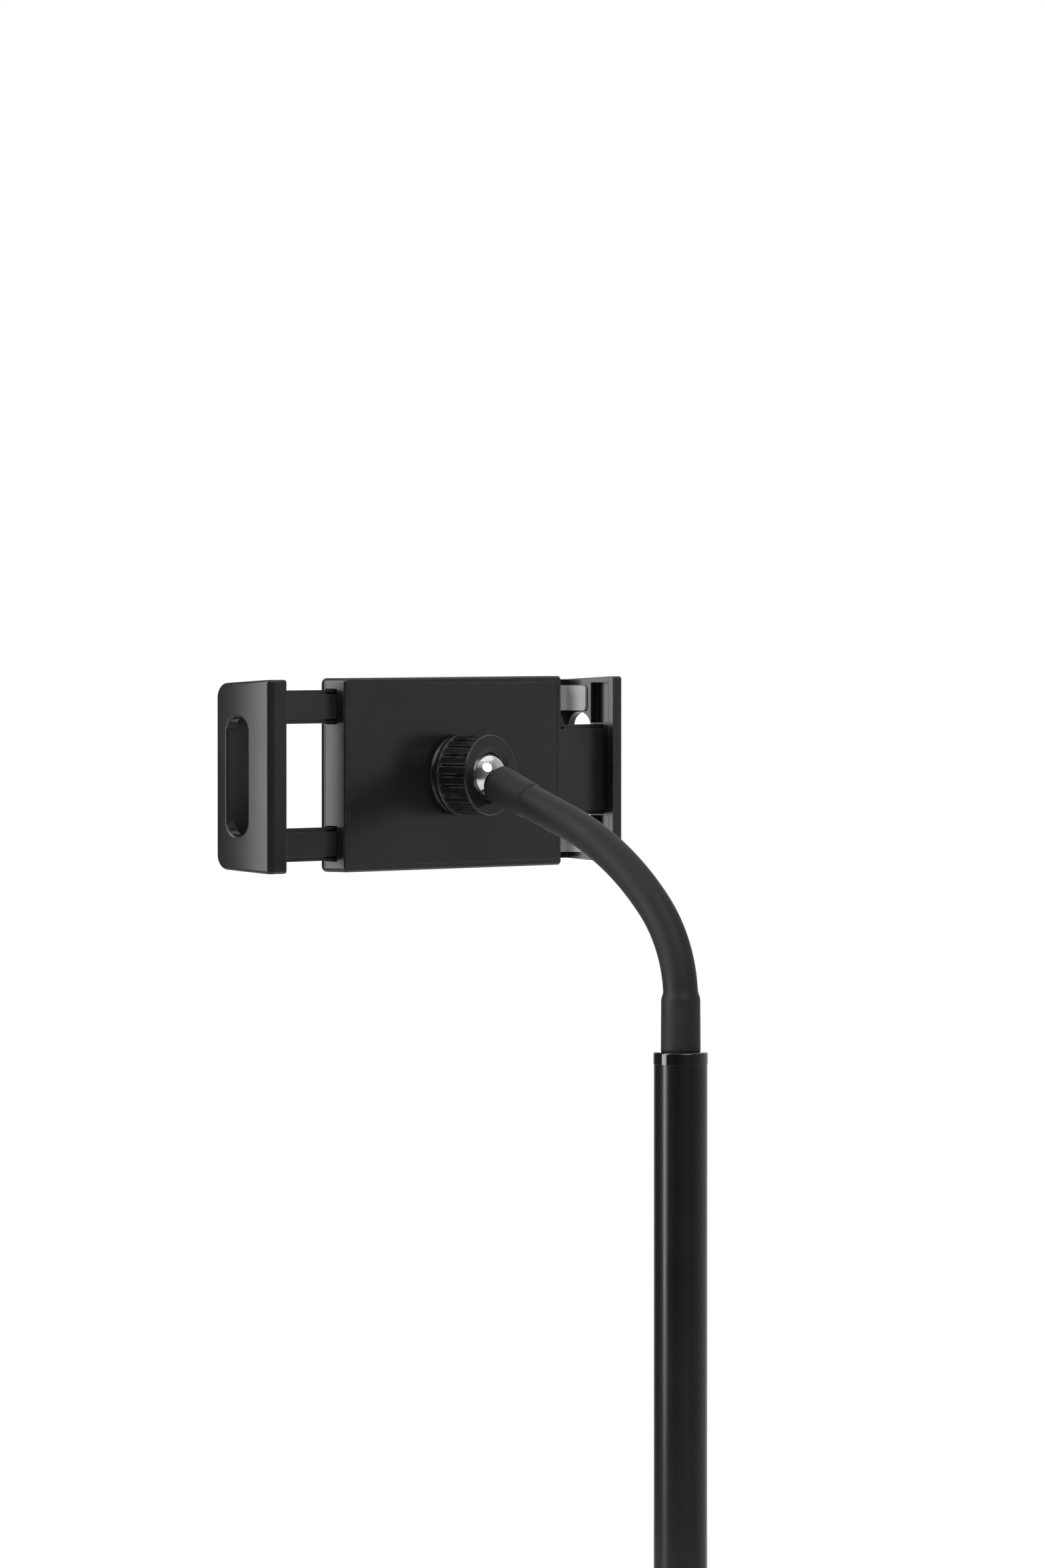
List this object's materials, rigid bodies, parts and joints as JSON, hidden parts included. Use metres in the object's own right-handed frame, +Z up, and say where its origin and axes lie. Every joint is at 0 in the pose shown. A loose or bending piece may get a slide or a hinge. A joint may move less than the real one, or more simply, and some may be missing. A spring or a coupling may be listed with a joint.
{
  "type": "tablet stand",
  "caption": "Weighted-base tablet stand: straight pole, short gooseneck, ball joint with ring nut, and a clamp head whose sprung jaws slide apart on rails.",
  "frame": {"origin": "centre of the base's underside, on the pole's axis", "axes": "+Z up the pole; the tablet's screen faces -Y; the jaws slide along X, the twin-rail jaw at +X"},
  "size_m": [0.2, 0.2277, 0.4445],
  "materials": {
    "base_paint": "fine satin powder coat, black",
    "foot_foam": "matte foam rubber, black",
    "zinc_steel": "zinc plated steel",
    "core_steel": "oiled spring steel",
    "spring_steel": "bright spring wire",
    "pole_paint": "gloss black paint",
    "cap_gloss": "gloss black plastic",
    "sleeve_rubber": "matte dark grey rubber",
    "ball_chrome": "bright chrome",
    "seat_plastic": "natural white plastic",
    "nut_plastic": "satin black plastic, bright where rubbed",
    "head_plastic": "satin dark grey plastic, fine spark texture",
    "rail_plastic": "smooth dark grey plastic",
    "grip_silicone": "light grey silicone"
  },
  "bodies": {
    "root": {"foot_pad": "foot_foam", "base_plate": "base_paint", "base_bolt": "zinc_steel", "base_washer": "zinc_steel", "base_collar": "base_paint", "pole_insert": "zinc_steel", "pole_tube": "pole_paint", "pole_cap": "cap_gloss"},
    "neck_base": {"lower_ferrule": "zinc_steel", "gooseneck_link_1": "core_steel", "gooseneck_sleeve": "sleeve_rubber"},
    "neck_2": {"gooseneck_link_2": "core_steel"},
    "neck_3": {"gooseneck_link_3": "core_steel"},
    "neck_4": {"gooseneck_link_4": "core_steel"},
    "neck_5": {"gooseneck_link_5": "core_steel"},
    "neck_6": {"gooseneck_link_6": "core_steel"},
    "neck_7": {"gooseneck_link_7": "core_steel"},
    "neck_tip": {"gooseneck_link_8": "core_steel", "upper_ferrule": "zinc_steel", "ball_stud": "zinc_steel"},
    "ball_body": {"ball": "ball_chrome"},
    "seat_body": {"ball_seat": "seat_plastic"},
    "head": {"back_cover": "head_plastic", "front_cover": "head_plastic", "cover_screws": "zinc_steel", "front_pad_right": "grip_silicone", "front_pad_left": "grip_silicone", "right_spring_upper": "spring_steel", "right_spring_lower": "spring_steel", "left_spring": "spring_steel"},
    "nut_body": {"clamp_nut": "nut_plastic"},
    "right_slider": {"right_jaw": "head_plastic", "right_rail_upper": "rail_plastic", "right_rail_lower": "rail_plastic", "right_jaw_pad_upper": "grip_silicone", "right_jaw_pad_lower": "grip_silicone"},
    "left_slider": {"left_jaw": "head_plastic", "left_rail": "rail_plastic", "left_jaw_pad_upper": "grip_silicone", "left_jaw_pad_lower": "grip_silicone"}
  },
  "joints": [
    {"name": "gooseneck_turn", "type": "hinge", "parent": "root", "child": "neck_base", "pos_m": [0, 0, 0.3163], "axis": [0, 0, 1], "range_deg": [-175, 175]},
    {"name": "gooseneck_bend_1", "type": "hinge", "parent": "neck_base", "child": "neck_2", "pos_m": [0, 0, 0.33994], "axis": [1, 0, 0], "range_deg": [-13.33, 8], "deforming": ["gooseneck_sleeve"]},
    {"name": "gooseneck_bend_2", "type": "hinge", "parent": "neck_2", "child": "neck_3", "pos_m": [0, -0.0027, 0.35132], "axis": [1, 0, 0], "range_deg": [-13.33, 8], "deforming": ["gooseneck_sleeve"]},
    {"name": "gooseneck_bend_3", "type": "hinge", "parent": "neck_3", "child": "neck_4", "pos_m": [0, -0.00794, 0.36176], "axis": [1, 0, 0], "range_deg": [-13.33, 8], "deforming": ["gooseneck_sleeve"]},
    {"name": "gooseneck_bend_4", "type": "hinge", "parent": "neck_4", "child": "neck_5", "pos_m": [0, -0.01563, 0.37093], "axis": [1, 0, 0], "range_deg": [-7, 4.2], "deforming": ["gooseneck_sleeve"]},
    {"name": "gooseneck_bend_5", "type": "hinge", "parent": "neck_5", "child": "neck_6", "pos_m": [0, -0.02458, 0.37927], "axis": [1, 0, 0], "range_deg": [-7, 4.2], "deforming": ["gooseneck_sleeve"]},
    {"name": "gooseneck_bend_6", "type": "hinge", "parent": "neck_6", "child": "neck_7", "pos_m": [0, -0.03447, 0.38646], "axis": [1, 0, 0], "range_deg": [-7, 4.2], "deforming": ["gooseneck_sleeve"]},
    {"name": "gooseneck_bend_7", "type": "hinge", "parent": "neck_7", "child": "neck_tip", "pos_m": [0, -0.04517, 0.39239], "axis": [1, 0, 0], "range_deg": [-7, 4.2], "deforming": ["gooseneck_sleeve"]},
    {"name": "ball_swivel", "type": "hinge", "parent": "neck_tip", "child": "ball_body", "pos_m": [0, -0.0894, 0.41026], "axis": [0, -0.9272, 0.3746], "continuous": true},
    {"name": "holder_tilt", "type": "hinge", "parent": "ball_body", "child": "seat_body", "pos_m": [0, -0.0894, 0.41026], "axis": [-1, 0, 0], "range_deg": [-2.5, 46.5]},
    {"name": "holder_spin", "type": "hinge", "parent": "seat_body", "child": "head", "pos_m": [0, -0.0894, 0.41026], "axis": [0, 1, 0], "continuous": true},
    {"name": "nut_turn", "type": "hinge", "parent": "head", "child": "nut_body", "pos_m": [0, -0.0894, 0.41026], "axis": [0, 1, 0], "range_deg": [0, 270]},
    {"name": "right_jaw_slide", "type": "slide", "parent": "head", "child": "right_slider", "axis": [1, 0, 0], "range_m": [-0.0314, 0.02], "deforming": ["right_spring_upper", "right_spring_lower"]},
    {"name": "left_jaw_slide", "type": "slide", "parent": "head", "child": "left_slider", "axis": [-1, 0, 0], "range_m": [-0.0273, 0.02], "deforming": ["left_spring"]}
  ]
}
